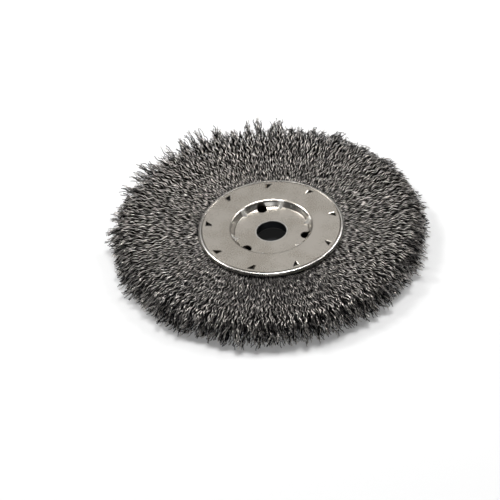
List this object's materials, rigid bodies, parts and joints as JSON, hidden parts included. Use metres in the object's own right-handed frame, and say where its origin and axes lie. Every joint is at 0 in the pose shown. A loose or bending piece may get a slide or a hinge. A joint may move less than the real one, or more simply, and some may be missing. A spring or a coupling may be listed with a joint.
{
  "type": "wire wheel brush",
  "caption": "Crimped steel wire wheel brush with pressed side plates and a plain round arbor hole, for cleaning and deburring metal on a bench grinder.",
  "frame": {"origin": "centre of the wheel, on the arbor axis midway between the two plates", "axes": "+Z along the arbor axis, out of the front plate; the wheel lies flat on the lower side of its wire rim"},
  "size_m": [0.199, 0.199, 0.02],
  "materials": {
    "plate_steel": "pressed sheet steel, warm light grey satin with brighter edges",
    "sleeve_steel": "thin drawn steel tube, bright at its flared lips",
    "inner_steel": "plain dull steel, hidden between the plates",
    "wire_steel": "crimped bright steel wire, dark between the wires"
  },
  "bodies": {
    "root": {"front_plate": "plate_steel", "back_plate": "plate_steel", "arbor_sleeve": "sleeve_steel", "hub_spacer": "inner_steel", "keeper_ring": "inner_steel", "wire_bundle_01": "wire_steel", "wire_bundle_02": "wire_steel", "wire_bundle_03": "wire_steel", "wire_bundle_04": "wire_steel", "wire_bundle_05": "wire_steel", "wire_bundle_06": "wire_steel", "wire_bundle_07": "wire_steel", "wire_bundle_08": "wire_steel", "wire_bundle_09": "wire_steel", "wire_bundle_10": "wire_steel", "wire_bundle_11": "wire_steel", "wire_bundle_12": "wire_steel", "wire_bundle_13": "wire_steel", "wire_bundle_14": "wire_steel", "wire_bundle_15": "wire_steel", "wire_bundle_16": "wire_steel", "wire_bundle_17": "wire_steel", "wire_bundle_18": "wire_steel", "wire_bundle_19": "wire_steel", "wire_bundle_20": "wire_steel", "wire_bundle_21": "wire_steel", "wire_bundle_22": "wire_steel", "wire_bundle_23": "wire_steel", "wire_bundle_24": "wire_steel", "wire_bundle_25": "wire_steel", "wire_bundle_26": "wire_steel", "wire_bundle_27": "wire_steel", "wire_bundle_28": "wire_steel", "wire_bundle_29": "wire_steel", "wire_bundle_30": "wire_steel", "wire_bundle_31": "wire_steel", "wire_bundle_32": "wire_steel", "wire_bundle_33": "wire_steel", "wire_bundle_34": "wire_steel", "wire_bundle_35": "wire_steel", "wire_bundle_36": "wire_steel"}
  },
  "joints": []
}
